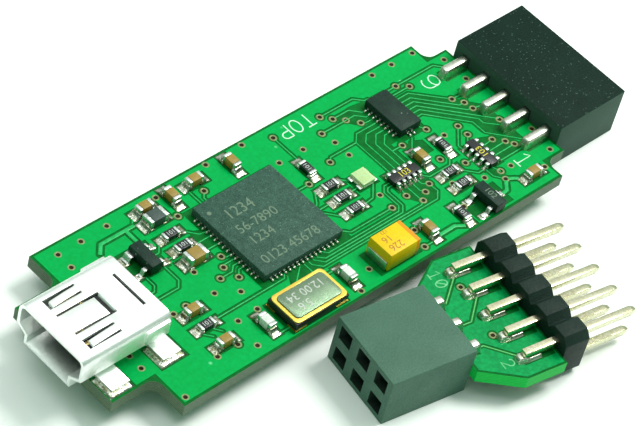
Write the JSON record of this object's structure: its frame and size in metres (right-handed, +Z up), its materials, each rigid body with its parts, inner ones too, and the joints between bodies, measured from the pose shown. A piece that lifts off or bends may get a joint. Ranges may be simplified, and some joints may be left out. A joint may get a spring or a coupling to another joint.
{
  "type": "usb microcontroller programmer",
  "caption": "Bare-board USB microcontroller programmer with a box-type USB port, a two-row target socket and a loose socket-to-pin plug adapter.",
  "frame": {"origin": "bottom centre of the bounding box, on the bench plane under the connectors", "axes": "+X from the USB port towards the target socket, +Y from the loose adapter towards the programmer, +Z up from the bench"},
  "size_m": [0.062, 0.0338, 0.007],
  "materials": {
    "board_laminate": "green solder mask over glass-epoxy laminate, glossy",
    "shell_steel": "tin-plated steel sheet, satin",
    "black_plastic": "moulded glass-filled polyester, matt",
    "grey_plastic": "moulded glass-filled polyester, matt grey-green",
    "plated_contact": "tin over phosphor bronze, satin",
    "gold_pin": "thin pale gold over bronze, polished",
    "chip_epoxy": "filled black epoxy, matt speckled",
    "tin_plate": "tin plate, satin",
    "solder": "bright solder",
    "crystal_ceramic": "black alumina ceramic",
    "crystal_quartz": "lapped quartz",
    "gold_plate": "gold plate, satin",
    "lid_metal": "nickel-plated alloy, satin grey",
    "tantalum_yellow": "moulded yellow epoxy, matt",
    "led_laminate": "white laminate",
    "led_epoxy": "clear epoxy over a pale yellow phosphor",
    "resistor_glaze": "black glaze over alumina",
    "capacitor_tan": "tan ceramic, fine matt",
    "capacitor_white": "white ceramic, fine matt",
    "ferrite_grey": "grey ferrite, fine matt"
  },
  "bodies": {
    "programmer": {"main_pcb": "board_laminate", "usb_shell": "shell_steel", "usb_insulator": "black_plastic", "usb_contacts": "plated_contact", "mcu_body": "chip_epoxy", "mcu_terminals": "tin_plate", "mcu_thermal_pad": "tin_plate", "buffer_body": "chip_epoxy", "buffer_terminals": "tin_plate", "crystal_base": "crystal_ceramic", "crystal_blank": "crystal_quartz", "crystal_seal_ring": "gold_plate", "crystal_lid": "lid_metal", "crystal_pads": "gold_plate", "tantalum_body": "tantalum_yellow", "tantalum_terminals": "tin_plate", "led_base": "led_laminate", "led_lens": "led_epoxy", "led_terminals": "tin_plate", "esd_body": "chip_epoxy", "esd_leads": "tin_plate", "transistor_body": "chip_epoxy", "transistor_leads": "tin_plate", "resistor_array_bodies": "resistor_glaze", "resistor_array_terminals": "tin_plate", "resistor_bodies": "resistor_glaze", "resistor_terminals": "tin_plate", "capacitor_bodies": "capacitor_tan", "capacitor_terminals": "tin_plate", "bulk_capacitor_body": "capacitor_tan", "bulk_capacitor_terminals": "tin_plate", "ferrite_body": "ferrite_grey", "ferrite_terminals": "tin_plate", "load_capacitor_bodies": "capacitor_white", "load_capacitor_terminals": "tin_plate", "target_socket_housing": "black_plastic", "target_contacts_upper": "plated_contact", "target_contacts_lower": "plated_contact", "usb_solder": "solder", "chip_solder": "solder", "target_socket_solder": "solder"},
    "adapter": {"adapter_pcb": "board_laminate", "adapter_socket_housing": "grey_plastic", "adapter_contacts_upper": "plated_contact", "adapter_contacts_lower": "plated_contact", "adapter_plug_block": "black_plastic", "adapter_pins_upper": "gold_pin", "adapter_pins_lower": "gold_pin", "adapter_socket_solder": "solder", "adapter_plug_solder": "solder"}
  },
  "joints": [
    {"name": "adapter_lift", "type": "slide", "parent": "programmer", "child": "adapter", "axis": [0, 0, 1], "range_m": [0, 0.03]}
  ]
}
